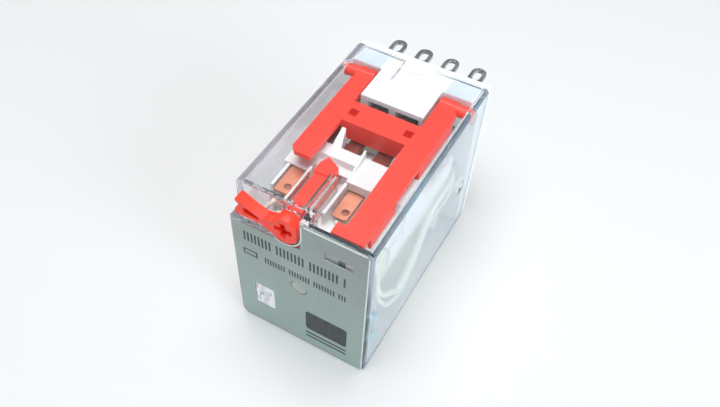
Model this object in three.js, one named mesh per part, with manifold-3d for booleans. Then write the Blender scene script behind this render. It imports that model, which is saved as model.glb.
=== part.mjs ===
// Miniature plug-in relay: four change-over contacts, 14 blade terminals, clear cover,
// lockable test lever and mechanical position indicator.
// Units are millimetres. X is the width, +Y the plug-in direction of the blades, +Z the side
// that carries the indicator. The origin is the centre of the seating face (base flange rear).
import * as THREE from 'three';
import { mergeVertices } from 'three/addons/utils/BufferGeometryUtils.js';
import Module from 'manifold-3d';

const wasm = await Module();
wasm.setup();

// ---- driving dimensions ----
const WIDTH = 21;
const HEIGHT = 27.4;
const DEPTH = 35;
const CORNER = 0.7;
const WALL = 0.8;
const FLANGE = 0.8;
const SEAM = 0.18;
const LABEL = 0.25;
const ADHESIVE = 0.04;
const GAP = 0.15;

const PITCH = 4.4;
const COLUMNS = [-1.5, -0.5, 0.5, 1.5];
const ROW_NC = 10.05;
const ROW_NO = 5.95;
const ROW_COM = -0.45;
const ROW_COIL = -6.85;
const BLADE_T = 0.5;
const BLADE_W = 2.3;
const BLADE_OUT = 6.9;
const BLADE_IN = -3.3;
const EYE = { width: 1.2, length: 2.3, radius: 0.59, fromTip: 1.7 };

const SPRING_Z = 8.9;
const SPRING_T = 0.25;
const SPRING_W = 2.26;
const SPRING_ENDS = [-28.6, -7.3];
const CONTACT_Y = -8.2;
const CONTACT_R = 0.75;

const KNOB = { x: -2.05, z: 10.95, r: 2.2, flat: 1.95 };
const POCKET = { right: 0.25, floor: 8.7, back: -32.7, well: 2.35 };
const LEVER = { front: -35.1, back: -33.4, recess: 1.35 };
const SHAFT_R = 0.85;
const GUIDE = { thickness: 0.4, end: -25.7, low: 9.6 };
const NOTCH = { left: -2.5, right: 2.55, front: -6.2 };

const FRAME_TOP = 12.4;
const FRAME_T = 0.8;
const PIVOT = { y: -5.3, z: 11.7, r: 0.9, end: 9.95 };
const SQUARE_HOLE = { x: [-4.05, 4.35], y: -13.7, half: 0.65, floor: 10.85, pad: 0.95 };
const WINDOW_INDICATOR = { x: [3.8, 8], z: [8.9, 10.25] };
const WINDOW_BOARD = { x: [-7.45, -4.25], z: [-8.95, -4.15] };
const LED = { x: -0.1, z: -0.2, r: 1.15 };

const BLOCK = { half: 4.8, front: -10.3, rear: -2.9, bottom: 5.2 };
const LEDGE = { half: 9.5, front: -4.05, low: 11 };
const PLUG_FRONT = -3;
const LATCH = { front: -5.6, rear: -3.5, low: -3.9, top: -2.1 };

const BAR = { half: 9, rear: -18.95, front: -21, blockFront: -23.9, pushFront: -22.45, top: 10.6 };
const COIL = { z: -3.8, front: -29, rear: -7, flange: 7.8, radius: 6.9, core: 2.8 };
const HINGE_Z = -11.5;
const PLATE_FRONT = -31.4;
const PLATE_T = 1.2;
const IRON_HALF = 6.6;
const LEAD_R = 0.34;

const halfW = WIDTH / 2;
const halfH = HEIGHT / 2;
const coverFront = LABEL - DEPTH;
const columnX = (i) => COLUMNS[i] * PITCH;

// ---- solids ----
function solidOf(geometry) {
  const bare = geometry.index ? geometry.toNonIndexed() : geometry.clone();
  bare.deleteAttribute('normal');
  bare.deleteAttribute('uv');
  const merged = mergeVertices(bare, 1e-4);
  return new wasm.Manifold(new wasm.Mesh({
    numProp: 3,
    vertProperties: new Float32Array(merged.attributes.position.array),
    triVerts: new Uint32Array(merged.index.array),
  }));
}

function geometryOf(solid) {
  const mesh = solid.getMesh();
  const geometry = new THREE.BufferGeometry();
  geometry.setAttribute('position', new THREE.BufferAttribute(mesh.vertProperties, 3));
  geometry.setIndex(new THREE.BufferAttribute(mesh.triVerts, 1));
  geometry.computeVertexNormals();
  return geometry;
}

const join = (...solids) => solids.reduce((all, one) => all.add(one));
const cut = (body, ...tools) => tools.reduce((left, one) => left.subtract(one), body);

// A box given by its limits along each axis.
function box([x0, x1], [y0, y1], [z0, z1]) {
  const geometry = new THREE.BoxGeometry(x1 - x0, y1 - y0, z1 - z0);
  geometry.translate((x0 + x1) / 2, (y0 + y1) / 2, (z0 + z1) / 2);
  return solidOf(geometry);
}

// The plane that an outline is drawn in, and the direction that it is extruded along.
const AXES = {
  x: [[0, 1, 0], [0, 0, 1], [1, 0, 0]],
  y: [[1, 0, 0], [0, 0, 1], [0, -1, 0]],
  z: [[1, 0, 0], [0, 1, 0], [0, 0, 1]],
};

function prism(shape, axis, from, to, segments = 6) {
  const geometry = new THREE.ExtrudeGeometry(shape, {
    depth: to - from, bevelEnabled: false, curveSegments: segments,
  });
  const basis = AXES[axis].map((v) => new THREE.Vector3(...v));
  geometry.applyMatrix4(new THREE.Matrix4().makeBasis(...basis));
  const start = axis === 'y' ? to : from;
  const shift = { x: [start, 0, 0], y: [0, start, 0], z: [0, 0, start] }[axis];
  geometry.translate(...shift);
  return solidOf(geometry);
}

function outline(points) {
  return new THREE.Shape(points.map(([u, v]) => new THREE.Vector2(u, v)));
}

function roundRect(w, h, r, u = 0, v = 0) {
  const shape = new THREE.Shape();
  shape.moveTo(u - w / 2 + r, v - h / 2);
  shape.lineTo(u + w / 2 - r, v - h / 2);
  shape.absarc(u + w / 2 - r, v - h / 2 + r, r, -Math.PI / 2, 0);
  shape.lineTo(u + w / 2, v + h / 2 - r);
  shape.absarc(u + w / 2 - r, v + h / 2 - r, r, 0, Math.PI / 2);
  shape.lineTo(u - w / 2 + r, v + h / 2);
  shape.absarc(u - w / 2 + r, v + h / 2 - r, r, Math.PI / 2, Math.PI);
  shape.lineTo(u - w / 2, v - h / 2 + r);
  shape.absarc(u - w / 2 + r, v - h / 2 + r, r, Math.PI, Math.PI * 1.5);
  return shape;
}

function disc(r, u, v) {
  return new THREE.Shape().absarc(u, v, r, 0, Math.PI * 2);
}

const rod = (axis, r, u, v, from, to, segments = 8) => prism(disc(r, u, v), axis, from, to, segments);

// A round bar along a smooth route.
function wire(points, radius, steps, segments = 4) {
  const route = new THREE.CatmullRomCurve3(points.map((p) => new THREE.Vector3(...p)));
  const geometry = new THREE.ExtrudeGeometry(disc(radius, 0, 0), {
    steps, extrudePath: route, curveSegments: segments, bevelEnabled: false,
  });
  return solidOf(geometry);
}

// ---- finishes ----
const finish = (color, roughness, metalness, extra = {}) =>
  () => new THREE.MeshStandardMaterial({ color, roughness, metalness, ...extra });
const clearPlastic = finish(0xd6e2ee, 0.08, 0, { transparent: true, opacity: 0.35 });
const redPlastic = finish(0xf8503c, 0.4, 0);
const whitePlastic = finish(0xf4f8f6, 0.45, 0);
const labelSheet = finish(0x94a69f, 0.5, 0.1);
const tinnedBrass = finish(0x8f9c9c, 0.35, 0.9);
const copperAlloy = finish(0xe8a078, 0.35, 0.85);
const silver = finish(0xd9d8d2, 0.3, 0.95);
const softIron = finish(0xa8adb0, 0.4, 0.9);
const copperWire = finish(0xb5653a, 0.4, 0.8);
const tape = finish(0xe6e8c8, 0.6, 0);
const sleeve = finish(0xe9ecd6, 0.5, 0);
const boardGreen = finish(0x3c7a5a, 0.5, 0);
const ledBody = finish(0xd8d4c0, 0.25, 0);
const resistorBody = finish(0x7fc8cf, 0.45, 0);

const relay = new THREE.Group();
relay.name = 'plug_in_relay';

function add(name, solid, material) {
  const mesh = new THREE.Mesh(geometryOf(solid), material());
  mesh.name = name;
  relay.add(mesh);
}

// ---- housing ----
// The lever pocket is open to the left and to the top; its round well holds the knob.
function pocketSolid(grow, front, back) {
  return join(
    box([-halfW - 1, POCKET.right + grow], [front, back], [POCKET.floor - grow, halfH + 1]),
    rod('y', POCKET.well + grow, KNOB.x, KNOB.z, front, back, 24),
  );
}

function pivotSocket(side) {
  const inner = side * (PIVOT.end + GAP);
  const outer = side * (halfW - WALL - 0.3);
  return rod('x', PIVOT.r + GAP, PIVOT.y, PIVOT.z, Math.min(inner, outer), Math.max(inner, outer));
}

function guideSolid(x) {
  return box([x, x + GUIDE.thickness], [POCKET.back + WALL - 0.2, GUIDE.end],
    [GUIDE.low, halfH - WALL + 0.2]);
}

function coverSolid() {
  const inside = coverFront + WALL;
  const rear = -FLANGE - SEAM;
  const cavity = cut(
    prism(roundRect(WIDTH - 2 * WALL, HEIGHT - 2 * WALL, CORNER / 2), 'y', inside, 0),
    pocketSolid(WALL, coverFront - 1, POCKET.back + WALL),
  );
  const notch = box([NOTCH.left, NOTCH.right], [NOTCH.front, 0], [halfH - WALL - 0.3, halfH + 1]);
  const latchWindow = (side) => box(
    [Math.min(side * 9.5, side * 11), Math.max(side * 9.5, side * 11)],
    [LATCH.front, LATCH.rear],
    [LATCH.low, LATCH.top],
  );
  const shaftHole = rod('y', SHAFT_R + 0.35, KNOB.x, KNOB.z, POCKET.back - 0.5, POCKET.back + WALL + 0.5);
  const shell = cut(
    prism(roundRect(WIDTH, HEIGHT, CORNER), 'y', coverFront, rear),
    cavity, pocketSolid(0, coverFront - 1, POCKET.back), pivotSocket(1), pivotSocket(-1), notch,
    latchWindow(1), latchWindow(-1), shaftHole,
  );
  return join(shell, guideSolid(KNOB.x - 1.65), guideSolid(KNOB.x + 1.25), guideSolid(KNOB.x + 2));
}

function labelSolid() {
  const margin = 0.4;
  const through = [-DEPTH - 1, 1 - DEPTH];
  const sheet = prism(roundRect(WIDTH - 2 * margin, HEIGHT - margin, CORNER), 'y', -DEPTH,
    coverFront - ADHESIVE);
  return cut(
    sheet,
    box([-halfW - 1, POCKET.right + 0.1], through, [POCKET.floor - 0.25, halfH + 1]),
    rod('y', POCKET.well + 0.1, KNOB.x, KNOB.z, ...through, 24),
    box(WINDOW_INDICATOR.x, through, WINDOW_INDICATOR.z),
    box(WINDOW_BOARD.x, through, WINDOW_BOARD.z),
    rod('y', LED.r + GAP, LED.x, LED.z, ...through, 12),
  );
}

// The snap tab: a ramp that rises into the notch of the cover.
function tabSolid() {
  const low = 12.4;
  const ramp = outline([[-0.4, low], [-0.4, halfH - 0.1], [-2.8, halfH - 0.1], [-2.8, 13.35],
    [-6, 12.95], [-6, low]]);
  return prism(ramp, 'x', NOTCH.left + GAP, NOTCH.right - GAP);
}

// A side latch: a springy tongue of the base with a ramped nub that fills the cover's side window.
function latchSolid(side) {
  const tongue = [[8.9, LATCH.front], [9.5, LATCH.front], [9.5, PLUG_FRONT + 0.1], [8.9, PLUG_FRONT + 0.1]];
  const nub = [[9.4, LATCH.front + GAP], [10.35, LATCH.rear - GAP - 0.4], [10.35, LATCH.rear - GAP],
    [9.4, LATCH.rear - GAP]];
  const upright = (points, inset) => prism(
    outline(points.map(([x, y]) => [side * x, y])), 'z', LATCH.low + inset, LATCH.top - inset,
  );
  return join(upright(tongue, GAP), upright(nub, GAP));
}

function baseSolid() {
  const play = 2 * WALL + 2 * GAP;
  const top = halfH - WALL - GAP;
  const flange = prism(roundRect(WIDTH, HEIGHT, CORNER), 'y', -FLANGE, 0);
  const shoulder = prism(roundRect(WIDTH - WALL, HEIGHT - WALL, CORNER), 'y', -FLANGE - SEAM, -FLANGE / 2);
  const plug = prism(roundRect(WIDTH - play, HEIGHT - play, 0.5), 'y', PLUG_FRONT, -FLANGE / 2);
  const block = box([-BLOCK.half, BLOCK.half], [BLOCK.front, BLOCK.rear], [BLOCK.bottom, top]);
  const ledge = box([-LEDGE.half, LEDGE.half], [LEDGE.front, BLOCK.rear], [LEDGE.low, top]);
  const window = (x0, x1) => box([x0, x1], [BLOCK.front - 1, -4.3], [6.3, 12]);
  const slot = (x, z) => box(
    [x - BLADE_W / 2 - GAP, x + BLADE_W / 2 + GAP],
    [-5, 1],
    [z - BLADE_T / 2 - GAP, z + BLADE_T / 2 + GAP],
  );
  const rows = [ROW_NC, ROW_NO, ROW_COM].flatMap((z) => COLUMNS.map((_, i) => slot(columnX(i), z)));
  const coilSlots = [0, 3].map((i) => slot(columnX(i), ROW_COIL));
  return cut(
    join(flange, shoulder, plug, block, ledge, tabSolid(), latchSolid(1), latchSolid(-1)),
    window(-3.6, -0.35), window(0.6, 4.2), ...rows, ...coilSlots,
  );
}

// ---- terminals ----
function bladeSolid(x, z, inner) {
  const r = BLADE_W / 2;
  const blade = new THREE.Shape();
  blade.moveTo(x - r, BLADE_IN);
  blade.lineTo(x + r, BLADE_IN);
  blade.lineTo(x + r, BLADE_OUT - r);
  blade.absarc(x, BLADE_OUT - r, r, 0, Math.PI);
  const eye = roundRect(EYE.width, EYE.length, EYE.radius, x, BLADE_OUT - EYE.fromTip);
  const flat = cut(
    prism(blade, 'z', z - BLADE_T / 2, z + BLADE_T / 2, 8),
    prism(eye, 'z', z - 1, z + 1, 5),
  );
  return inner ? join(flat, inner) : flat;
}

// The fixed contact arm of a terminal, from its blade to under or over the moving contact.
function armOf(x, z, reachZ) {
  const low = z - BLADE_T / 2;
  const top = z + BLADE_T / 2;
  const step = reachZ - z;
  const tip = CONTACT_Y - 1;
  const side = outline([[-3, low], [-3, top], [-4.4, top], [-5.4, top + step], [tip, top + step],
    [tip, low + step], [-5.4, low + step], [-4.4, low]]);
  return prism(side, 'x', x - 1, x + 1);
}

const NC_FACE = ROW_NC - BLADE_T / 2;
const NO_ARM_Z = 7.05;
const NO_FACE = NO_ARM_Z + BLADE_T / 2;

function addTerminals() {
  COLUMNS.forEach((_, i) => {
    const x = columnX(i);
    const n = i + 1;
    add(`terminal_nc_${n}`, bladeSolid(x, ROW_NC, armOf(x, ROW_NC, ROW_NC)), tinnedBrass);
    add(`terminal_no_${n}`, bladeSolid(x, ROW_NO, armOf(x, ROW_NO, NO_ARM_Z)), tinnedBrass);
    const lug = box([x - 0.8, x + 0.8], [-4.6, -3], [ROW_COM - BLADE_T / 2, ROW_COM + BLADE_T / 2]);
    add(`terminal_com_${n}`, bladeSolid(x, ROW_COM, lug), tinnedBrass);
    add(`fixed_contact_nc_${n}`, rod('z', CONTACT_R, x, CONTACT_Y, NC_FACE - 0.35, NC_FACE), silver);
    add(`fixed_contact_no_${n}`, rod('z', CONTACT_R, x, CONTACT_Y, NO_FACE, NO_FACE + 0.4), silver);
  });
  [0, 3].forEach((i, n) => {
    add(`terminal_coil_${n + 1}`, bladeSolid(columnX(i), ROW_COIL), tinnedBrass);
  });
}

// ---- contact carrier, armature and moving contacts ----
// The bar that holds the four springs: a full-width step, a thicker right half and a push face
// that the test slider's cam reaches.
function carrierBars() {
  const { half, rear, front, blockFront, pushFront, top } = BAR;
  const step = 9.5;
  return join(
    box([-half, half], [pushFront, rear], [7.4, step]),
    box([-half, -5], [blockFront, pushFront + 0.1], [7.4, step]),
    box([0.6, half], [blockFront, pushFront + 0.1], [7.4, top]),
    box([-half, half], [front, rear], [step - 0.1, top]),
    box([0.6, half], [pushFront - 0.1, front + 0.1], [step - 0.1, top]),
  );
}

// Insulating fins between the columns, and the low rib in front of the middle fin.
function carrierFins() {
  const { rear, top } = BAR;
  const low = 7.5;
  const tip = -16.5;
  const leftPlan = outline([[-4.3, rear - 0.3], [-2.9, rear - 0.3], [-3.6, tip], [-4.2, tip]]);
  const leftSide = outline([[rear - 0.3, low], [rear - 0.3, top], [rear, top], [tip, 11.9], [tip, low]]);
  const left = prism(leftPlan, 'z', low, 12).intersect(prism(leftSide, 'x', -5, -2));
  const front = BAR.blockFront - 0.2;
  const middleSide = outline([[-18.8, low], [-18.8, 11.8], [front, 10], [front, low]]);
  const right = box([4.5, 4.75], [rear - 0.3, tip], [low, 11.4]);
  const rib = box([0.4, 0.85], [-29.8, BAR.blockFront + 0.1], [low, 10.2]);
  return join(left, prism(middleSide, 'x', 0.5, 0.8), right, rib);
}

// Side skirts with a rounded rear corner, and the rails that run forward beside the outer springs.
function carrierSides() {
  const low = 2.6;
  const rear = -9.4;
  const r = 1.5;
  const side = new THREE.Shape();
  side.moveTo(-27.5, low);
  side.lineTo(rear, low);
  side.absarc(rear, low + r, r, -Math.PI / 2, 0);
  side.lineTo(rear + r, 6.2);
  side.lineTo(-27.5, 6.2);
  const skirt = (x) => prism(side, 'x', x, x + 0.4);
  return join(
    skirt(8.3), skirt(-8.7),
    box([-8.4, -7.95], [-28.3, -23.7], [7.2, 9.3]),
    box([7.95, 8.4], [-28.3, -23.7], [7.2, 8.4]),
  );
}

function carrierSolid() {
  const slab = join(
    box([-8.9, 8.9], [-24.2, -16.4], [5.9, 7.9]),
    box([-8.5, 8.5], [-28.3, -24], [6.6, 7.4]),
    box([-5.3, 5.3], [-31.2, -24], [5.9, 7.9]),
    box([-5.3, 5.3], [PLATE_FRONT - 0.7, -30.7], [3.4, 7.2]),
    box([-8.7, 8.7], [-23.9, -15], [5.8, 6.9]),
    box([-8.9, 8.9], [-16.9, -14.5], [5.9, 6.9]),
  );
  const front = PLATE_FRONT - GAP;
  const half = IRON_HALF + 0.2;
  const seat = box([-half, half], [front, PLATE_FRONT + PLATE_T + GAP], [-1, 4.4 + GAP]);
  const tongueSlot = box([-4.75, 4.75], [front, -30.7], [4.2, 5 + GAP]);
  const slotHalf = SPRING_T / 2 + GAP;
  const slots = COLUMNS.map((_, i) => box([columnX(i) - 1.3, columnX(i) + 1.3], [-25, -16.3],
    [SPRING_Z - slotHalf, SPRING_Z + slotHalf]));
  return cut(join(carrierBars(), slab, carrierFins(), carrierSides()), seat, tongueSlot, ...slots);
}

function armatureSolid() {
  return join(
    box([-IRON_HALF, IRON_HALF], [PLATE_FRONT, PLATE_FRONT + PLATE_T], [HINGE_Z - 0.9, 4.4]),
    box([-4.6, 4.6], [PLATE_FRONT, PLATE_FRONT + 0.5], [4.3, 5]),
  );
}

function springSolid(x) {
  const half = SPRING_T / 2;
  const [front, rear] = SPRING_ENDS;
  const strip = roundRect(SPRING_W, rear - front, 0.4, x, (front + rear) / 2);
  return cut(
    prism(strip, 'z', SPRING_Z - half, SPRING_Z + half, 3),
    rod('z', 0.45, x, CONTACT_Y, SPRING_Z - 1, SPRING_Z + 1, 8),
  );
}

function movingContactSolid(x) {
  const half = SPRING_T / 2;
  const head = 0.3;
  const play = 0.03;
  return join(
    rod('z', CONTACT_R, x, CONTACT_Y, SPRING_Z + half + play, SPRING_Z + half + head),
    rod('z', 0.38, x, CONTACT_Y, SPRING_Z - half - 0.1, SPRING_Z + half + 0.1, 8),
    rod('z', CONTACT_R, x, CONTACT_Y, SPRING_Z - half - head, SPRING_Z - half - play),
  );
}

function addMovingContacts() {
  COLUMNS.forEach((_, i) => {
    add(`contact_spring_${i + 1}`, springSolid(columnX(i)), copperAlloy);
    add(`moving_contact_${i + 1}`, movingContactSolid(columnX(i)), silver);
  });
}

// ---- indicator frame ----
function indicatorFrameSolid() {
  const low = FRAME_TOP - FRAME_T;
  const lap = low + 0.1;
  const plan = outline([
    [-7.95, -23.3], [-7.2, -24.05], [-4.8, -24.05], [-4.8, -15.75], [4.9, -15.75], [5.0, -31.6],
    [3.8, -31.6], [3.8, -33.4], [8.3, -33.4], [8.4, -7.2], [7.8, -6.3], [7.8, -4.5], [5.2, -4.5],
    [5.2, -11.6], [-5.15, -11.6], [-5.15, -4.5], [-7.8, -4.5], [-7.8, -6.8], [-7.95, -7.4],
  ]);
  const pin = (from, to) => rod('x', PIVOT.r, PIVOT.y, PIVOT.z, from, to);
  const square = (half, z0, z1) => SQUARE_HOLE.x.map((x) => box(
    [x - half, x + half], [SQUARE_HOLE.y - half, SQUARE_HOLE.y + half], [z0, z1],
  ));
  const foot = box([3.8, 8.3], [-33.4, -32.7], [10.75, lap]);
  const crossWall = box([-4.8, 4.9], [-15.75, -15.2], [9.3, lap]);
  const lip = (y0, y1) => box([7.95, 8.4], [y0, y1], [9.9, lap]);
  return cut(
    join(
      prism(plan, 'z', low, FRAME_TOP), pin(5.2, PIVOT.end), pin(-PIVOT.end, -5.15), foot, crossWall,
      lip(-18.3, -8), lip(-31.5, -24.8), ...square(SQUARE_HOLE.pad, SQUARE_HOLE.floor - 0.25, lap),
    ),
    ...square(SQUARE_HOLE.half, SQUARE_HOLE.floor, FRAME_TOP + 1),
  );
}

// ---- test button and locking lever ----
function testSliderSolid() {
  const { x, z } = KNOB;
  const front = -31.7;
  const cam = outline([[x - 1.2, -25.7], [x - 1.22, -23.9], [x - 0.66, -22.54], [x + 1.4, -23.66],
    [x + 1.51, -25.04], [x + 0.9, -25.5]]);
  return join(
    box([x - 1.05, x + 1.05], [front, -25], [z - 0.85, z + 0.95]),
    prism(cam, 'z', 9.2, z + 1.25),
    rod('y', SHAFT_R, x, z, LEVER.back - 0.5, front + 0.2),
  );
}

function leverSolid() {
  const { x, z, r, flat } = KNOB;
  const { front, back, recess } = LEVER;
  const handle = outline([
    [x, z - 1.5], [x - 1.5, z - 1.6], [-4.4, 9.5], [-5.5, 10.1], [-9, 10], [-9.3, 10.3], [-9.25, 11],
    [-8.6, 11.55], [-8.6, 12.05], [-9.15, 12.5], [-9.1, 12.9], [-8.8, 13], [-6.8, 11.95], [-5.2, 11.4],
    [-4.4, 11.5], [x - 1.2, z + 1.2], [x, z + 1.5],
  ]);
  const saddle = rod('y', 1, x - 1.85, z + 1.8, front - 1, back + 1, 12);
  const knob = cut(
    rod('y', r, x, z, front, back, 24),
    box([x + flat, x + r + 1], [front - 1, back + 1], [z - r, z + r]),
  );
  const grip = prism(handle, 'y', front + 0.1, back);
  const slot = outline([[-8, 10.8], [-7.9, 11.9], [-6.2, 11.3], [-5.6, 11], [-5.8, 10.65]]);
  const arm = (w, h) => box([x - w, x + w], [front - 1, front + 1], [z - h, z + h]);
  const bore = rod('y', SHAFT_R + 0.13, x, z, back - 0.55, back + 1);
  return cut(join(knob, grip), saddle, prism(slot, 'y', front - 1, front + recess), arm(1.3, 0.42),
    arm(0.42, 1.3), bore);
}

// ---- coil and magnetic circuit ----
function bobbinSolid() {
  const { z, front, rear, flange, core } = COIL;
  const plate = (y0, y1) => box([-flange, flange], [y0, y1], [z - 7.4, z + 7.9]);
  const barrel = rod('y', core + 0.9, 0, z, front, rear, 16);
  const hole = rod('y', core + GAP, 0, z, front - 1, rear + 1, 16);
  return cut(join(plate(front, front + 0.9), plate(rear - 0.9, rear), barrel), hole);
}

function ringAlongY(outer, inner, y0, y1) {
  return cut(rod('y', outer, 0, COIL.z, y0, y1, 24), rod('y', inner, 0, COIL.z, y0 - 1, y1 + 1, 20));
}

function yokeSolid() {
  const low = HINGE_Z - 0.9;
  const side = [-IRON_HALF, IRON_HALF];
  const base = box(side, [PLATE_FRONT + PLATE_T + 0.35, -5.3], [low, low + 1.1]);
  const back = box(side, [-6.8, -5.3], [low, COIL.z + 2.6]);
  return cut(join(base, back), rod('y', 1.6, 0, COIL.z, -8, -4));
}

function coreSolid() {
  return join(
    rod('y', COIL.core, 0, COIL.z, COIL.front - 0.7, COIL.rear + 0.1, 16),
    rod('y', 1.45, 0, COIL.z, COIL.rear, -5.1),
  );
}

function hingeSpringSolid() {
  const low = HINGE_Z - 1.3;
  return join(
    box([-3, 3], [PLATE_FRONT - 0.4, -24], [low, low + 0.25]),
    box([-3, 3], [PLATE_FRONT - 0.4, PLATE_FRONT - 0.15], [low, -7.5]),
  );
}

function addCoil() {
  const wound = [COIL.front + 1.05, COIL.rear - 1.05];
  add('bobbin', bobbinSolid(), whitePlastic);
  add('winding', ringAlongY(COIL.radius - 0.4, COIL.core + 1.05, ...wound), copperWire);
  add('coil_tape', ringAlongY(COIL.radius, COIL.radius - 0.25, wound[0] + 0.1, wound[1] - 0.1), tape);
  add('core', coreSolid(), softIron);
  add('yoke', yokeSolid(), softIron);
  add('hinge_spring', hingeSpringSolid(), silver);
}

// ---- flexible leads and indicator board ----
// Each lead runs from the front tab of a contact spring, down in front of the armature,
// loops back beside the coil and ends at its common terminal.
function leadSolid(i) {
  const x = columnX(i);
  const side = Math.sign(x);
  const outer = Math.abs(x) > PITCH;
  const lane = side * 9.15;
  const front = outer
    ? [[x, -29.3, SPRING_Z], [x + side * 0.6, -30.5, SPRING_Z - 0.5], [side * 8.8, -31.3, 5.4]]
    : [[x, -29.3, SPRING_Z], [side * 3.5, -30.2, 8.75], [side * 5.7, -30.9, 8.3], [side * 7.6, -31, 5.4],
      [side * 8.4, -30.2, 2]];
  const inset = outer ? 0 : 1.3;
  const loop = [[-31.4, 0.8], [-28, -5.6], [-23.2, -8], [-18.8, -4.5]].map(
    ([y, z]) => [lane, y + inset * (y < -25 ? 1 : -0.4), z + inset * (z > 0 ? -1 : 1)],
  );
  const rear = outer
    ? [[lane, -15.2, -0.6], [lane, -9, -1.4], [side * 8.4, -5.2, -0.8], [x, -5.05, ROW_COM]]
    : [[lane, -15.2, 1.2], [lane, -9, 1.2], [side * 8.5, -6.2, 0.95], [side * 6, -4.9, 0.9],
      [x, -4.6, ROW_COM + 0.9]];
  return wire([...front, ...loop, ...rear], LEAD_R, 46);
}

function addLeadsAndBoard() {
  COLUMNS.forEach((_, i) => add(`flexible_lead_${i + 1}`, leadSolid(i), sleeve));
  const boardFront = -33.3;
  const board = box([-8.2, 9.3], [boardFront, boardFront + 0.45], [-12.5, 2]);
  add('indicator_board', board, boardGreen);
  add('indicator_led', rod('y', LED.r, LED.x, LED.z, boardFront - 0.55, boardFront, 12), ledBody);
  add('resistor', rod('z', 0.8, 8.5, -30.6, -11, -5, 12), resistorBody);
}

add('cover', coverSolid(), clearPlastic);
add('label_plate', labelSolid(), labelSheet);
add('base', baseSolid(), whitePlastic);
addTerminals();
add('contact_carrier', carrierSolid(), whitePlastic);
add('armature', armatureSolid(), softIron);
addMovingContacts();
add('indicator_frame', indicatorFrameSolid(), redPlastic);
add('test_slider', testSliderSolid(), redPlastic);
add('lock_lever', leverSolid(), redPlastic);
addCoil();
addLeadsAndBoard();

export default relay;
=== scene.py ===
"""Looks of a miniature plug-in relay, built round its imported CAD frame.

Everything is in metres in the frame's axes: X is the width, +Y the plug-in direction of the blades and
+Z the side with the indicator. The frame keeps every size and place. This script adds the finishes,
the printed label, the fine inner pieces, the light and the camera.
"""

import math

import bmesh
import bpy
from mathutils import Matrix, Vector


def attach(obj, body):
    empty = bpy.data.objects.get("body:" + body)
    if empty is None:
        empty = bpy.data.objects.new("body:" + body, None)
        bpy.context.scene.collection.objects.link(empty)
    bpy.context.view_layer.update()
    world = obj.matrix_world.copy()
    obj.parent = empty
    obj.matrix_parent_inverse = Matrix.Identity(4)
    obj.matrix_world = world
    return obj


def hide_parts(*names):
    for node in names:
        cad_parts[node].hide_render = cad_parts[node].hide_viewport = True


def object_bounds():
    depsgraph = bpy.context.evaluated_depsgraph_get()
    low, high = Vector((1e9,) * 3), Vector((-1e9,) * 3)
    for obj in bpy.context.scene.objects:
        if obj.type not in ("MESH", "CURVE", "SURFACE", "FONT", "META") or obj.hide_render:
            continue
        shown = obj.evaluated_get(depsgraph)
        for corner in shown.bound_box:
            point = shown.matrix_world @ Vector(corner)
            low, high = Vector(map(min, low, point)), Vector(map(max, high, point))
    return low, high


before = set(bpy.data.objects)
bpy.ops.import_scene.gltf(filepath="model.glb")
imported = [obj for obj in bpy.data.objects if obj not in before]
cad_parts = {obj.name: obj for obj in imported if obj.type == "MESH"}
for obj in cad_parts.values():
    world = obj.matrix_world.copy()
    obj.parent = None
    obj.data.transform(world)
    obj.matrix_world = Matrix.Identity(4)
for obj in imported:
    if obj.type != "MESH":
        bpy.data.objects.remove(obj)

cad_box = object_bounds()
MM = 0.001
scene = bpy.context.scene


# ---- camera, light and floor ----
CAMERA_PLACE = Vector((31.45, -82.06, 83.14)) * MM
AZIMUTH = math.radians(30.44)
ELEVATION = math.radians(52.11)
ROLL = math.radians(0.225)
SENSOR = 36.0
FOCAL = 1.0386 * SENSOR
SHIFT = (0.05035, 0.05)
FLOOR_GAP = 0.02 * MM
GLOW_REACH = (0.18, 0.9)
GLOW = 0.72


def make_camera():
    data = bpy.data.cameras.new("camera")
    camera = bpy.data.objects.new("camera", data)
    scene.collection.objects.link(camera)
    back = Vector((
        math.sin(AZIMUTH) * math.cos(ELEVATION),
        -math.cos(AZIMUTH) * math.cos(ELEVATION),
        math.sin(ELEVATION),
    ))
    turn = (-back).to_track_quat("-Z", "Y").to_matrix() @ Matrix.Rotation(ROLL, 3, "Z")
    camera.matrix_world = Matrix.Translation(CAMERA_PLACE) @ turn.to_4x4()
    data.sensor_width = SENSOR
    data.lens = FOCAL
    data.shift_x, data.shift_y = SHIFT
    data.clip_start = 0.005
    data.clip_end = 20.0
    scene.camera = camera


def make_world():
    """A pale studio: bright low walls and a dim ceiling, so that the clear top keeps little haze."""
    world = bpy.data.worlds.new("studio")
    world.use_nodes = True
    tree = world.node_tree
    place = tree.nodes.new("ShaderNodeTexCoord")
    split = tree.nodes.new("ShaderNodeSeparateXYZ")
    ramp = tree.nodes.new("ShaderNodeValToRGB")
    elements = ramp.color_ramp.elements
    elements[0].position, elements[0].color = 0.12, (0.84, 0.88, 0.92, 1.0)
    elements[1].position, elements[1].color = 0.5, (0.2, 0.21, 0.22, 1.0)
    tree.links.new(place.outputs["Generated"], split.inputs["Vector"])
    tree.links.new(split.outputs["Z"], ramp.inputs["Fac"])
    tree.links.new(ramp.outputs["Color"], tree.nodes["Background"].inputs["Color"])
    scene.world = world
    scene.view_settings.view_transform = "Standard"
    # Light is reflected many times inside the walls of a clear cover.
    scene.cycles.max_bounces = 32
    scene.cycles.glossy_bounces = 24
    scene.cycles.transmission_bounces = 24


def add_softbox(name, place, aim, size, power, color=(1.0, 1.0, 1.0)):
    data = bpy.data.lights.new(name, "AREA")
    data.shape = "RECTANGLE"
    data.size, data.size_y = size
    data.energy = power
    data.color = color
    lamp = bpy.data.objects.new(name, data)
    lamp.location = place
    lamp.rotation_euler = (Vector(aim) - Vector(place)).to_track_quat("-Z", "Y").to_euler()
    scene.collection.objects.link(lamp)


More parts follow.
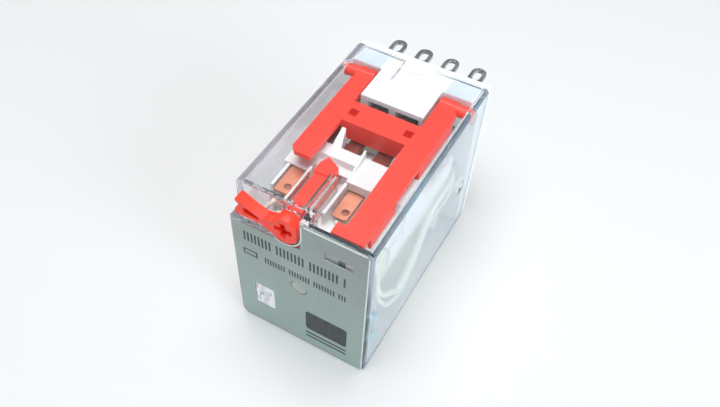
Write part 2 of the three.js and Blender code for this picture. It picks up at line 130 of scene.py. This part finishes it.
def make_floor():
    """Pale paper just below the part, with a glow in the distance so that no dark horizon shows."""
    half = 4.0
    level = cad_box[0].z - FLOOR_GAP
    mesh = bpy.data.meshes.new("floor")
    corners = [(-half, -half, level), (half, -half, level), (half, half, level), (-half, half, level)]
    mesh.from_pydata(corners, [], [(0, 1, 2, 3)])
    floor = bpy.data.objects.new("floor", mesh)
    scene.collection.objects.link(floor)
    paper = Finish("floor_paper", (0.71, 0.71, 0.71), 0.9)
    paper.bump(paper.noise(900), 0.05, 0.05 * MM)
    away = paper.node("ShaderNodeVectorMath")
    away.operation = "LENGTH"
    paper.link(paper.place, away.inputs[0])
    paper.set("Emission Color", (0.9, 0.93, 0.96, 1.0))
    glow = paper.remap(away.outputs["Value"], *GLOW_REACH, 0.0, GLOW)
    paper.link(glow, paper.shader.inputs["Emission Strength"])
    mesh.materials.append(paper.material)


# ---- materials ----
RED = (0.95, 0.045, 0.02)
WHITE = (0.85, 0.86, 0.855)
LAVENDER = (0.82, 0.81, 0.88)
SKY = (0.42, 0.64, 0.78)
LENGTHWAYS = (5.0, 0.3, 5.0)

# The cover's side walls: where they begin and end across X, how rough they are, how milky, and how strong the
# painted reflection on their outer faces is, more on the left.
WALL_INSIDE = 9.7 * MM
WALL_OUTSIDE = 10.5 * MM
WALL_BLEND = 0.15 * MM
SIDE_HAZE = 0.025
SIDE_MILK_AND_REFLECTION = 0.13
LEFT_PAINTED_REFLECTION = 0.3


class Finish:
    """A node material round one Principled shader, with short ways to add texture to it."""

    def __init__(self, name, color, roughness, metallic=0.0):
        self.material = bpy.data.materials.new(name)
        self.material.use_nodes = True
        self.tree = self.material.node_tree
        self.shader = self.tree.nodes["Principled BSDF"]
        self.output = self.tree.nodes["Material Output"]
        self.set("Base Color", (*color, 1.0))
        self.set("Roughness", roughness)
        self.set("Metallic", metallic)
        self.place = self.node("ShaderNodeTexCoord").outputs["Object"]

    def set(self, socket, value):
        self.shader.inputs[socket].default_value = value

    def node(self, kind, **inputs):
        made = self.tree.nodes.new(kind)
        for name, value in inputs.items():
            made.inputs[name.replace("_", " ")].default_value = value
        return made

    def link(self, source, target):
        self.tree.links.new(source, target)

    def stretched(self, scale):
        mapping = self.node("ShaderNodeMapping", Scale=scale)
        self.link(self.place, mapping.inputs["Vector"])
        return mapping.outputs["Vector"]

    def noise(self, scale, detail=3.0, stretch=(1.0, 1.0, 1.0)):
        made = self.node("ShaderNodeTexNoise", Scale=scale, Detail=detail)
        self.link(self.stretched(stretch), made.inputs["Vector"])
        return made.outputs["Fac"]

    def cells(self, scale, stretch=(1.0, 1.0, 1.0)):
        made = self.node("ShaderNodeTexVoronoi", Scale=scale)
        self.link(self.stretched(stretch), made.inputs["Vector"])
        return made.outputs["Distance"]

    def bands(self, scale, direction, distortion=0.0):
        made = self.node("ShaderNodeTexWave", Scale=scale, Distortion=distortion)
        made.bands_direction = direction
        self.link(self.place, made.inputs["Vector"])
        return made.outputs["Fac"]

    def along(self, axis, start, end):
        """0 to 1 from one place to another along an axis."""
        split = self.node("ShaderNodeSeparateXYZ")
        self.link(self.place, split.inputs["Vector"])
        return self.remap(split.outputs[axis], start, end, 0.0, 1.0)

    def remap(self, factor, low, high, to_low, to_high):
        made = self.node("ShaderNodeMapRange")
        for index, value in enumerate((low, high, to_low, to_high), start=1):
            made.inputs[index].default_value = value
        self.link(factor, made.inputs["Value"])
        return made.outputs["Result"]

    def combine(self, operation, *factors):
        made = self.node("ShaderNodeMath")
        made.operation = operation
        for factor, socket in zip(factors, made.inputs):
            self.link(factor, socket)
        return made.outputs["Value"]

    def average(self, first, second):
        return self.remap(self.combine("ADD", first, second), 0.0, 2.0, 0.0, 1.0)

    def mix(self, factor, first, second):
        """One shader where the factor is 0 and another where it is 1."""
        made = self.node("ShaderNodeMixShader")
        for source, socket in zip((factor, first, second), made.inputs):
            self.link(source, socket)
        return made.outputs["Shader"]

    def color(self, factor, stops):
        """Colours the surface by a factor: stops are (place, colour) pairs."""
        ramp = self.node("ShaderNodeValToRGB")
        elements = ramp.color_ramp.elements
        while len(elements) < len(stops):
            elements.new(0.5)
        for element, (place, color) in zip(elements, stops):
            element.position = place
            element.color = (*color, 1.0)
        self.link(factor, ramp.inputs["Fac"])
        self.link(ramp.outputs["Color"], self.shader.inputs["Base Color"])

    def roughness(self, factor, smooth, rough):
        self.link(self.remap(factor, 0.3, 0.7, smooth, rough), self.shader.inputs["Roughness"])

    def bump(self, height, strength, distance):
        made = self.node("ShaderNodeBump", Strength=strength, Distance=distance)
        self.link(height, made.inputs["Height"])
        before = self.shader.inputs["Normal"].links
        if before:
            self.link(before[0].from_socket, made.inputs["Normal"])
        self.link(made.outputs["Normal"], self.shader.inputs["Normal"])


def tone(color, factor):
    return tuple(min(1.0, c * factor) for c in color)


def moulded_plastic(name, color, gloss, glow=0.0):
    """Injection-moulded plastic: faint flow streaks, a fine spark-eroded grain and a few soft sinks."""
    made = Finish(name, color, gloss)
    streaks = made.noise(220, 4, (1.0, 0.35, 1.0))
    made.color(streaks, [(0.3, tone(color, 0.95)), (0.7, tone(color, 1.03))])
    made.roughness(made.noise(900, 4), gloss - 0.06, gloss + 0.08)
    made.bump(made.noise(5200, 2), 0.12, 0.006 * MM)
    made.bump(made.noise(140, 1), 0.25, 0.03 * MM)
    made.set("IOR", 1.5)
    if glow:
        made.set("Subsurface Weight", glow)
        made.set("Subsurface Radius", tuple(c * 1.2 * MM for c in color))
        made.set("Subsurface Scale", 1.0)
    return made


def milky_sides_and_painted_reflection(made, across, outward):
    """A cloudy milkiness on the side walls' outer faces, with a painted reflection in it: painted lavender and
    stronger on the left, painted blue on the right.
    """
    milk_and_reflection = made.node("ShaderNodeBsdfDiffuse")
    ramp = made.node("ShaderNodeValToRGB")
    # painted reflection: lavender on the left wall, sky blue on the right
    for element, place, color in zip(ramp.color_ramp.elements, (0.4, 0.6), (LAVENDER, SKY)):
        element.position, element.color = place, (*color, 1.0)
    made.link(made.along("X", -WALL_OUTSIDE, WALL_OUTSIDE), ramp.inputs["Fac"])
    made.link(ramp.outputs["Color"], milk_and_reflection.inputs["Color"])
    clouds = made.remap(made.noise(75, 3), 0.3, 0.7, SIDE_MILK_AND_REFLECTION * 0.6, SIDE_MILK_AND_REFLECTION)
    # more painted reflection on the left wall
    extra = made.remap(across, -WALL_OUTSIDE / 2, WALL_OUTSIDE / 2, LEFT_PAINTED_REFLECTION, 0.0)
    skin = made.remap(outward, 10.3 * MM, 10.3 * MM + WALL_BLEND, 0.0, 1.0)
    amount = made.combine("MULTIPLY", skin, made.combine("ADD", clouds, extra))
    return made.mix(amount, made.shader.outputs["BSDF"], milk_and_reflection.outputs["BSDF"])


def clear_cover():
    """Clear polycarbonate, polished on top and a little milky on its side walls, which also carry a painted
    reflection.

    Light from the lamps and light scattered inside go straight through it.
    """
    made = Finish("clear_cover", (0.985, 0.99, 1.0), 0.015)
    made.set("Transmission Weight", 1.0)
    made.set("IOR", 1.585)
    split = made.node("ShaderNodeSeparateXYZ")
    made.link(made.place, split.inputs["Vector"])
    across = split.outputs["X"]
    outward = made.combine("ABSOLUTE", across)
    haze = made.remap(outward, WALL_INSIDE - WALL_BLEND, WALL_INSIDE, 0.0, SIDE_HAZE)
    polish = made.remap(made.noise(420, 4), 0.3, 0.7, 0.01, 0.035)
    made.link(made.combine("ADD", haze, polish), made.shader.inputs["Roughness"])
    made.bump(made.noise(95, 2), 0.3, 0.02 * MM)
    made.bump(made.noise(2600, 3), 0.04, 0.004 * MM)
    path = made.node("ShaderNodeLightPath")
    straight = made.combine("MAXIMUM", path.outputs["Is Shadow Ray"], path.outputs["Is Diffuse Ray"])
    through = made.node("ShaderNodeBsdfTransparent", Color=(0.985, 0.99, 0.995, 1.0))
    surface = made.mix(straight, milky_sides_and_painted_reflection(made, across, outward), through.outputs["BSDF"])
    made.link(surface, made.output.inputs["Surface"])
    tint = made.node("ShaderNodeVolumeAbsorption", Color=(0.55, 0.6, 0.7, 1.0), Density=20.0)
    made.link(tint.outputs["Volume"], made.output.inputs["Volume"])
    return made


def label_sheet():
    """Grey-green metallised label, greyer at the top and greener at the foot, with a fine rolled grain."""
    made = Finish("label_sheet", (0.36, 0.43, 0.4), 0.42, 0.15)
    height = made.along("Z", -13.0 * MM, 12.0 * MM)
    mottle = made.noise(160, 3)
    factor = made.average(height, made.remap(mottle, 0.0, 1.0, -0.1, 0.9))
    made.color(factor, [(0.12, (0.33, 0.45, 0.41)), (0.45, (0.31, 0.385, 0.36)), (0.85, (0.27, 0.3, 0.285))])
    made.roughness(made.noise(700, 3, (1.0, 1.0, 4.0)), 0.36, 0.5)
    made.bump(made.noise(3000, 2, (3.0, 1.0, 0.5)), 0.08, 0.005 * MM)
    return made


def plated_metal(name, color, gloss, stretch):
    """Rolled and plated metal: drawn streaks, cloudy plating and small scratches."""
    made = Finish(name, color, gloss, 1.0)
    clouds = made.noise(380, 4)
    made.color(clouds, [(0.3, tone(color, 0.8)), (0.7, tone(color, 1.08))])
    made.roughness(made.noise(1500, 4, stretch), gloss - 0.1, gloss + 0.12)
    made.bump(made.noise(2600, 3, stretch), 0.15, 0.006 * MM)
    return made


def contact_strip():
    """Bare copper alloy strip, bright on its front tabs, with painted shade towards the contacts: dark red-brown
    where the red frame's crossbar shades it.
    """
    made = plated_metal("copper_alloy", (0.58, 0.25, 0.16), 0.52, LENGTHWAYS)
    clouds = made.noise(300, 4)
    # painted shade with a painted red reflection of the frame: the strip darkens towards +Y from y = -23.5 mm to
    # -18.5 mm, behind the crossbar
    painted_shade = made.remap(made.along("Y", -23.5 * MM, -18.5 * MM), 0.0, 1.0, 0.0, 0.75)
    made.color(made.average(painted_shade, clouds), [(0.1, (0.5, 0.21, 0.13)), (0.35, (0.6, 0.27, 0.18)),
                                            (0.5, (0.22, 0.06, 0.045))])
    return made


def enamelled_wire():
    """Fine enamelled magnet wire laid side by side along the barrel."""
    made = Finish("copper_wire", (0.62, 0.22, 0.09), 0.3, 0.9)
    turns = made.bands(1250, "Y", 0.3)
    made.color(turns, [(0.0, (0.22, 0.06, 0.03)), (0.6, (0.7, 0.27, 0.12))])
    made.bump(turns, 0.6, 0.05 * MM)
    return made


def polyester_tape():
    """Pale yellow wound tape with fine wrinkles; the real tape is slightly see-through, this finish draws it
    opaque.
    """
    made = Finish("coil_tape", (0.84, 0.84, 0.66), 0.42)
    made.color(made.noise(260, 4), [(0.3, (0.78, 0.77, 0.58)), (0.7, (0.88, 0.88, 0.74))])
    made.bump(made.noise(600, 3, (1.0, 5.0, 1.0)), 0.25, 0.03 * MM)
    made.set("Coat Weight", 0.35)
    return made


def woven_sleeve():
    """Pale woven sleeve over a stranded copper lead."""
    made = Finish("lead_sleeve", (0.85, 0.87, 0.76), 0.6)
    weave = made.cells(3400, (1.0, 0.55, 0.55))
    made.color(weave, [(0.1, (0.9, 0.92, 0.82)), (0.75, (0.68, 0.71, 0.6))])
    made.bump(weave, 0.5, 0.05 * MM)
    return made


def circuit_board():
    """White solder mask over glass cloth."""
    made = Finish("board", (0.82, 0.84, 0.85), 0.35)
    made.color(made.noise(500, 3), [(0.3, (0.78, 0.8, 0.82)), (0.7, (0.86, 0.87, 0.88))])
    made.bump(made.cells(2200), 0.2, 0.01 * MM)
    return made


def diffused_lens():
    made = Finish("led", (0.8, 0.78, 0.68), 0.3)
    made.color(made.noise(900, 3), [(0.35, (0.68, 0.66, 0.56)), (0.7, (0.9, 0.88, 0.78))])
    made.set("Subsurface Weight", 0.3)
    made.set("Subsurface Radius", (0.4 * MM, 0.4 * MM, 0.3 * MM))
    made.bump(made.noise(1500, 2), 0.2, 0.02 * MM)
    return made


def lacquer(name, color):
    made = Finish(name, color, 0.3)
    made.color(made.noise(800, 3), [(0.3, tone(color, 0.88)), (0.7, tone(color, 1.06))])
    made.bump(made.noise(1200, 3), 0.3, 0.02 * MM)
    made.set("Coat Weight", 0.5)
    return made


def mottled_film():
    """A white film with soft lilac-grey patches and a warm darker tone along one side."""
    made = Finish("window_film", (0.84, 0.84, 0.88), 0.3)
    patches = made.average(made.noise(620, 2), made.along("X", -8.2 * MM, -4.6 * MM))
    made.color(patches, [(0.3, (0.5, 0.4, 0.38)), (0.42, (0.93, 0.93, 0.95)), (0.55, (0.6, 0.59, 0.7)),
                         (0.68, (0.9, 0.9, 0.93))])
    made.bump(made.noise(1200, 3), 0.3, 0.02 * MM)
    made.set("Coat Weight", 0.5)
    return made


def printed_ink():
    made = Finish("printed_ink", (0.035, 0.045, 0.05), 0.5)
    made.color(made.noise(1800, 3), [(0.35, (0.02, 0.028, 0.034)), (0.7, (0.055, 0.066, 0.072))])
    made.bump(made.noise(4000, 2), 0.1, 0.004 * MM)
    return made


def ledge_strip_finish():
    """Pale blue-grey finish for the strips on the base's ledges, with a fine cellular grain."""
    made = Finish("ledge_strip", (0.66, 0.73, 0.8), 0.6)
    made.color(made.noise(700, 3), [(0.3, (0.6, 0.68, 0.76)), (0.7, (0.7, 0.77, 0.84))])
    made.bump(made.cells(5200), 0.25, 0.012 * MM)
    return made


finishes = {
    "clear": clear_cover(),
    "label": label_sheet(),
    "white": moulded_plastic("white_plastic", WHITE, 0.4, 0.12),
    "red": moulded_plastic("red_plastic", RED, 0.38, 0.05),
    "tin": plated_metal("tinned_brass", (0.5, 0.55, 0.55), 0.32, LENGTHWAYS),
    "copper": contact_strip(),
    "silver": plated_metal("silver", (0.86, 0.85, 0.82), 0.25, (1.0, 1.0, 1.0)),
    "iron": plated_metal("soft_iron", (0.62, 0.64, 0.65), 0.38, (1.0, 0.4, 1.0)),
    "steel": plated_metal("spring_steel", (0.68, 0.68, 0.66), 0.24, LENGTHWAYS),
    "wire": enamelled_wire(),
    "tape": polyester_tape(),
    "sleeve": woven_sleeve(),
    "board": circuit_board(),
    "led": diffused_lens(),
    "teal": lacquer("resistor", (0.2, 0.6, 0.66)),
    "ink": printed_ink(),
    "weld": plated_metal("weld_mark", (0.3, 0.13, 0.09), 0.5, (1.0, 1.0, 1.0)),
    "pad": ledge_strip_finish(),
    "band_brown": lacquer("band_brown", (0.2, 0.06, 0.03)),
    "band_black": lacquer("band_black", (0.02, 0.02, 0.022)),
    "band_gold": lacquer("band_gold", (0.6, 0.42, 0.1)),
    "rim": lacquer("label_rim", (0.8, 0.85, 0.84)),
    "film": mottled_film(),
    "lens": lacquer("lens_film", (0.36, 0.39, 0.35)),
}

# Which finish each CAD node takes, by the start of its name, and how far its edges are rounded.
NODE_FINISH = {
    "cover": ("clear", 0.18),
    "label_plate": ("label", 0.05),
    "base": ("white", 0.09),
    "terminal": ("tin", 0.06),
    "fixed_contact": ("silver", 0.1),
    "moving_contact": ("silver", 0.08),
    "contact_spring": ("copper", 0.04),
    "contact_carrier": ("white", 0.09),
    "armature": ("iron", 0.08),
    "indicator_frame": ("red", 0.1),
    "test_slider": ("red", 0.12),
    "lock_lever": ("red", 0.16),
    "bobbin": ("white", 0.1),
    "winding": ("wire", 0.0),
    "coil_tape": ("tape", 0.0),
    "core": ("iron", 0.1),
    "yoke": ("iron", 0.1),
    "hinge_spring": ("steel", 0.03),
    "flexible_lead": ("sleeve", 0.0),
    "indicator_board": ("board", 0.03),
    "indicator_led": ("led", 0.15),
    "resistor": ("teal", 0.15),
}


# ---- refining the CAD nodes ----
SHARP = math.radians(38)


def smoothing_group(limit):
    """Geometry nodes that shade faces smooth, except across edges sharper than the limit."""
    group = bpy.data.node_groups.new("smooth_round_faces", "GeometryNodeTree")
    group.interface.new_socket("Geometry", in_out="INPUT", socket_type="NodeSocketGeometry")
    group.interface.new_socket("Geometry", in_out="OUTPUT", socket_type="NodeSocketGeometry")
    source = group.nodes.new("NodeGroupInput")
    target = group.nodes.new("NodeGroupOutput")
    angle = group.nodes.new("GeometryNodeInputMeshEdgeAngle")
    gentle = group.nodes.new("FunctionNodeCompare")
    gentle.operation = "LESS_THAN"
    gentle.inputs[1].default_value = limit
    faces = group.nodes.new("GeometryNodeSetShadeSmooth")
    edges = group.nodes.new("GeometryNodeSetShadeSmooth")
    edges.domain = "EDGE"
    group.links.new(source.outputs[0], faces.inputs["Geometry"])
    group.links.new(faces.outputs[0], edges.inputs["Geometry"])
    group.links.new(angle.outputs["Unsigned Angle"], gentle.inputs[0])
    group.links.new(gentle.outputs[0], edges.inputs["Shade Smooth"])
    group.links.new(edges.outputs[0], target.inputs[0])
    return group


smooth_round_faces = smoothing_group(SHARP)


def smooth(piece):
    """Smooths the round faces and lets the large flat faces keep their own direction."""
    modifier = piece.modifiers.new("smooth", "NODES")
    modifier.node_group = smooth_round_faces
    normals = piece.modifiers.new("normals", "WEIGHTED_NORMAL")
    normals.keep_sharp = True
    normals.weight = 90


def refine(node, rounding):
    """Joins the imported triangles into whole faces, rounds the edges and smooths the round faces."""
    weld = node.modifiers.new("weld", "WELD")
    weld.merge_threshold = 0.001 * MM
    flat = node.modifiers.new("flat", "DECIMATE")
    flat.decimate_type = "DISSOLVE"
    flat.angle_limit = math.radians(1)
    if rounding:
        bevel = node.modifiers.new("edges", "BEVEL")
        bevel.width = rounding * MM
        bevel.segments = 3 if rounding > 0.12 else 2
        bevel.limit_method = "ANGLE"
        bevel.angle_limit = SHARP
    smooth(node)


def finish_nodes():
    for name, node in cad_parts.items():
        key = next(k for k in NODE_FINISH if name.startswith(k))
        finish, rounding = NODE_FINISH[key]
        node.data.materials.clear()
        node.data.materials.append(finishes[finish].material)
        refine(node, rounding)


# ---- building pieces ----
def new_piece(name, mesh, finish, body):
    mesh.materials.append(finishes[finish].material)
    piece = bpy.data.objects.new(name, mesh)
    scene.collection.objects.link(piece)
    smooth(piece)
    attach(piece, body)
    return piece


def mesh_of(name, shape):
    bmesh.ops.recalc_face_normals(shape, faces=shape.faces[:])
    mesh = bpy.data.meshes.new(name)
    shape.to_mesh(mesh)
    shape.free()
    return mesh


def add_plate(shape, outline, front, back):
    """A flat plate on the label's plane: an outline of (x, z) in millimetres between two depths in y."""
    near = [shape.verts.new((x * MM, front * MM, z * MM)) for x, z in outline]
    far = [shape.verts.new((x * MM, back * MM, z * MM)) for x, z in outline]
    shape.faces.new(near)
    shape.faces.new(far)
    count = len(outline)
    for i in range(count):
        after = (i + 1) % count
        shape.faces.new((near[i], near[after], far[after], far[i]))


def rectangle(x0, x1, z0, z1):
    return [(x0, z0), (x1, z0), (x1, z1), (x0, z1)]


def rounded(x0, x1, z0, z1, radius, steps=6):
    """A rectangle's outline with round corners."""
    points = []
    corners = [(x1 - radius, z0 + radius), (x1 - radius, z1 - radius),
               (x0 + radius, z1 - radius), (x0 + radius, z0 + radius)]
    for quarter, (cx, cz) in enumerate(corners):
        for step in range(steps + 1):
            turn = math.pi / 2 * (quarter - 1 + step / steps)
            points.append((cx + radius * math.cos(turn), cz + radius * math.sin(turn)))
    return points


def add_block(shape, x, y, z):
    """A box between (start, end) pairs in millimetres."""
    corners = [shape.verts.new((a * MM, b * MM, c * MM)) for c in z for b in y for a in x]
    for face in ((0, 2, 3, 1), (4, 5, 7, 6), (0, 1, 5, 4), (2, 6, 7, 3), (0, 4, 6, 2), (1, 3, 7, 5)):
        shape.faces.new([corners[k] for k in face])


def smooth_route(points, steps):
    """A Catmull-Rom curve through points in millimetres."""
    marks = [Vector(p) for p in points]
    marks = [marks[0] * 2 - marks[1], *marks, marks[-1] * 2 - marks[-2]]
    route = []
    for i in range(1, len(marks) - 2):
        a, b, c, d = marks[i - 1:i + 3]
        for step in range(steps):
            t = step / steps
            route.append(0.5 * (2 * b + (c - a) * t + (2 * a - 5 * b + 4 * c - d) * t ** 2
                                + (3 * b - a - 3 * c + d) * t ** 3))
    route.append(marks[-2])
    return route


def add_sweep(shape, route, radius, sides=12):
    """A round bar along a route; radius is a function of the place along it, 0 to 1."""
    heading = (route[1] - route[0]).normalized()
    across = heading.orthogonal().normalized()
    rings = []
    for i, place in enumerate(route):
        after = route[min(i + 1, len(route) - 1)] - route[max(i - 1, 0)]
        turned = heading.rotation_difference(after.normalized())
        across = (turned @ across).normalized()
        heading = after.normalized()
        other = heading.cross(across)
        r = radius(i / (len(route) - 1))
        ring = []
        for k in range(sides):
            turn = math.tau * k / sides
            outward = across * math.cos(turn) + other * math.sin(turn)
            ring.append(shape.verts.new((place + outward * r) * MM))
        rings.append(ring)
    for near, far in zip(rings, rings[1:]):
        for k in range(sides):
            after = (k + 1) % sides
            shape.faces.new((near[k], near[after], far[after], far[k]))
    shape.faces.new(rings[0])
    shape.faces.new(rings[-1])


def add_turned(shape, centre, axis, profile, sides=24):
    """A turned body from (place along the axis, radius) pairs, closed at both ends."""
    route = [Vector(centre) + Vector(axis) * along for along, _ in profile]
    across = Vector(axis).orthogonal().normalized()
    other = Vector(axis).cross(across)
    rings = []
    for place, (_, r) in zip(route, profile):
        rings.append([
            shape.verts.new((place + (across * math.cos(math.tau * k / sides)
                                      + other * math.sin(math.tau * k / sides)) * r) * MM)
            for k in range(sides)
        ])
    for near, far in zip(rings, rings[1:]):
        for k in range(sides):
            after = (k + 1) % sides
            shape.faces.new((near[k], near[after], far[after], far[k]))
    shape.faces.new(rings[0])
    shape.faces.new(rings[-1])


def arc_band(cx, cz, inner, outer, start, end, steps=20):
    """The outline of a curved strip between two radii, from one angle to another in degrees."""
    turns = [math.radians(start + (end - start) * step / steps) for step in range(steps + 1)]
    near = [(cx + inner * math.cos(turn), cz + inner * math.sin(turn)) for turn in turns]
    far = [(cx + outer * math.cos(turn), cz + outer * math.sin(turn)) for turn in reversed(turns)]
    return near + far


# ---- label ----
LABEL_FACE = -35.0
INK = 0.02
SUNK = LABEL_FACE + 0.005
TYPE_ROW = (-8.4, 7.5, 5.15, 7.0)
RATING_ROW = (-5.3, 7.3, 1.95, 3.1)
SYMBOL = (-8.7, -6.5, 2.1, 3.2)
SYMBOL_LINE = 0.18
EMBLEM = (0.9, 7.5, -9.4, -5.0)
EMBLEM_BARS = (-10.6, -11.5)
KNOB_WELL = (-2.05, 10.95, 2.5)
RIM_WIDTH = 0.16
RIM_FACE = LABEL_FACE - 0.035


def add_ticks(shape, row, pitch, width):
    """A row of plain upright bars in groups of eight, where a rating would be printed."""
    start, end, low, high = row
    for i in range(int((end - start) / pitch)):
        if i % 9 == 8:
            continue
        x = start + i * pitch
        add_plate(shape, rectangle(x, x + width, low, high), LABEL_FACE - INK, SUNK)


def add_label_print():
    shape = bmesh.new()
    add_ticks(shape, TYPE_ROW, 0.56, 0.26)
    add_ticks(shape, RATING_ROW, 0.42, 0.2)
    x0, x1, z0, z1 = SYMBOL
    line = SYMBOL_LINE
    for side in ((x0, x1, z0, z0 + line), (x0, x1, z1 - line, z1),
                 (x0, x0 + line, z0, z1), (x1 - line, x1, z0, z1)):
        add_plate(shape, rectangle(*side), LABEL_FACE - INK, SUNK)
    add_plate(shape, rounded(*EMBLEM, 0.5), LABEL_FACE - INK, SUNK)
    for low in EMBLEM_BARS:
        add_plate(shape, rectangle(*EMBLEM[:2], low, low + 0.35), LABEL_FACE - INK, SUNK)
    new_piece("label_print", mesh_of("label_print", shape), "ink", "housing")


def add_label_rim():
    """The pale raised edge that runs round the lever's well, along the top and down the right side."""
    right, top, low = 10.1, 13.45, -13.45
    corner = 0.4
    step = 0.5
    shape = bmesh.new()
    for outline in (
        rectangle(right - RIM_WIDTH, right, low + corner, top - corner),
        rectangle(step + 0.5, right - corner, top - RIM_WIDTH, top),
        rectangle(step, step + RIM_WIDTH, 11.0, top - 0.3),
        arc_band(*KNOB_WELL, KNOB_WELL[2] + RIM_WIDTH, -125, -2),
    ):
        add_plate(shape, outline, RIM_FACE, SUNK)
    new_piece("label_rim", mesh_of("label_rim", shape), "rim", "housing")


def add_flag():
    """The white flag below the indicator frame's red foot, which the small window shows until it tilts."""
    face, back = -33.9, -33.8
    shape = bmesh.new()
    add_block(shape, (3.9, 8.2), (face, back), (6.9, 10.5))
    add_block(shape, (4.1, 8.0), (face, -33.3), (10.5, 10.85))
    new_piece("flag", mesh_of("flag", shape), "white", "indicator")
    shape = bmesh.new()
    add_block(shape, (5.55, 6.55), (face - INK, face + 0.01), (8.35, 9.5))
    new_piece("flag_mark", mesh_of("flag_mark", shape), "ink", "indicator")


def add_window_films():
    """A white marked film in the label's lower window and a pale lens film in its round one."""
    back = -34.82
    face = back - 0.11
    shape = bmesh.new()
    add_plate(shape, rectangle(-7.4, -4.3, -8.9, -4.2), face, back)
    new_piece("window_film", mesh_of("window_film", shape), "film", "housing")
    shape = bmesh.new()
    for stroke in (((-6.7, -8.0), (-6.85, -7.1), (-6.4, -6.3), (-5.8, -6.2), (-5.4, -6.9), (-5.45, -7.9)),
                   ((-5.0, -5.0), (-4.9, -5.6), (-5.1, -6.1))):
        route = smooth_route([(x, face, z) for x, z in stroke], 5)
        add_sweep(shape, route, lambda t: 0.04 + 0.05 * math.sin(math.pi * t), 8)
    new_piece("film_marks", mesh_of("film_marks", shape), "tin", "housing")
    shape = bmesh.new()
    add_turned(shape, (-0.1, back, -0.2), (0, -1, 0), [(0.0, 1.22), (0.09, 1.22), (0.12, 1.1)], 32)
    new_piece("lens_film", mesh_of("lens_film", shape), "lens", "housing")


# ---- inner pieces ----
COLUMNS = (-6.6, -2.2, 2.2, 6.6)


def add_ledge_strips():
    """Two pale strips on the base's ledges, either side of the snap tab."""
    shape = bmesh.new()
    for side in (-1, 1):
        ends = sorted((side * 5.1, side * 9.2))
        add_block(shape, ends, (-3.95, -1.2), (12.755, 12.83))
    new_piece("ledge_strips", mesh_of("ledge_strips", shape), "pad", "housing")


def add_resistor():
    """A cyan resistor with end caps, colour bands and wires that bend forwards to the board."""
    x, y, low, high = 8.5, -30.6, -11.0, -5.0
    half = (high - low) / 2
    end = [(half - 1.4, 0.64), (half - 1.1, 0.79), (half - 0.25, 0.78), (half - 0.06, 0.62), (half, 0.2)]
    shape = bmesh.new()
    body = [(-along, radius) for along, radius in reversed(end)] + end
    add_turned(shape, (x, y, low + half), (0, 0, 1), body)
    resistor = new_piece("resistor_body", mesh_of("resistor_body", shape), "teal", "housing")
    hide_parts("resistor")
    for name, place in (("band_brown", -1.0), ("band_black", -0.2), ("band_gold", 1.0)):
        shape = bmesh.new()
        add_turned(shape, (x, y, low + half + place), (0, 0, 1), [(-0.2, 0.65), (0.2, 0.65)])
        new_piece("resistor_" + name, mesh_of(name, shape), name, "housing")
    shape = bmesh.new()
    for tip, way in ((low, -1), (high, 1)):
        bend = [(x, y, tip - way * 0.1), (x, y, tip + way * 0.55),
                (x - 0.15, y - 0.45, tip + way * 0.85), (x - 0.2, y - 2.3, tip + way * 0.9)]
        add_sweep(shape, smooth_route(bend, 6), lambda t: 0.17, 8)
    new_piece("resistor_wires", mesh_of("resistor_wires", shape), "tin", "housing")


def add_leads():
    """Woven leads on the CAD routes, a little fuller in the loop beside the coil than at their ends."""
    for i, x in enumerate(COLUMNS):
        side = math.copysign(1, x)
        lane = side * 9.15
        if i in (0, len(COLUMNS) - 1):
            inset = 0.0
            front = [(x, -29.3, 8.9), (x + side * 0.6, -30.5, 8.4), (side * 8.8, -31.3, 5.4)]
            rear = [(lane, -15.2, -0.6), (lane, -9, -1.4), (side * 8.4, -5.2, -0.8), (x, -5.05, -0.45)]
        else:
            inset = 1.3
            front = [(x, -29.3, 8.9), (side * 3.5, -30.2, 8.75), (side * 5.7, -30.9, 8.3),
                     (side * 7.6, -31, 5.4), (side * 8.4, -30.2, 2)]
            rear = [(lane, -15.2, 1.2), (lane, -9, 1.2), (side * 8.5, -6.2, 0.95), (side * 6, -4.9, 0.9),
                    (x, -4.6, 0.45)]
        loop = [(lane, y + inset * (1 if y < -25 else -0.4), z + inset * (-1 if z > 0 else 1))
                for y, z in ((-31.4, 0.8), (-28, -5.6), (-23.2, -8), (-18.8, -4.5))]
        start = len(front) / (len(front) + 3 + len(rear))
        shape = bmesh.new()

        def fullness(t, start=start):
            return 0.33 + 0.12 * max(0.0, math.sin(math.pi * min(1.0, max(0.0, (t - start) / 0.42))))

        add_sweep(shape, smooth_route([*front, *loop, *rear], 9), fullness, 14)
        name = f"woven_lead_{i + 1}"
        lead = new_piece(name, mesh_of(name, shape), "sleeve", "housing")
        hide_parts(f"flexible_lead_{i + 1}")


def add_spring_welds():
    """Pressed weld marks where the leads are joined to the springs' front tabs."""
    shape = bmesh.new()
    ring = [(0.0, 0.55), (0.03, 0.52), (0.03, 0.3), (0.06, 0.26), (0.06, 0.05)]
    for x in COLUMNS:
        add_turned(shape, (x + 0.35, -27.4, 9.028), (0, 0, 1), ring, 18)
    new_piece("spring_welds", mesh_of("spring_welds", shape), "weld", "armature_assembly")


def add_tape_end():
    """The free end of the coil's tape, one layer over the rest."""
    shape = bmesh.new()
    add_plate(shape, arc_band(0, -3.8, 6.91, 6.99, -40, 70), -27.7, -8.3)
    new_piece("tape_end", mesh_of("tape_end", shape), "tape", "housing")


make_camera()
make_world()
make_floor()
add_softbox("key_softbox", (-0.02, -0.02, 0.38), (0.0, -0.015, 0.0), (0.34, 0.3), 1.75)
add_softbox("fill_softbox", (0.35, -0.1, 0.12), (0.0, -0.017, 0.0), (0.2, 0.2), 0.8, (0.8, 0.92, 1.0))
finish_nodes()
add_label_print()
add_label_rim()
add_flag()
add_window_films()
add_ledge_strips()
add_resistor()
add_leads()
add_spring_welds()
add_tape_end()
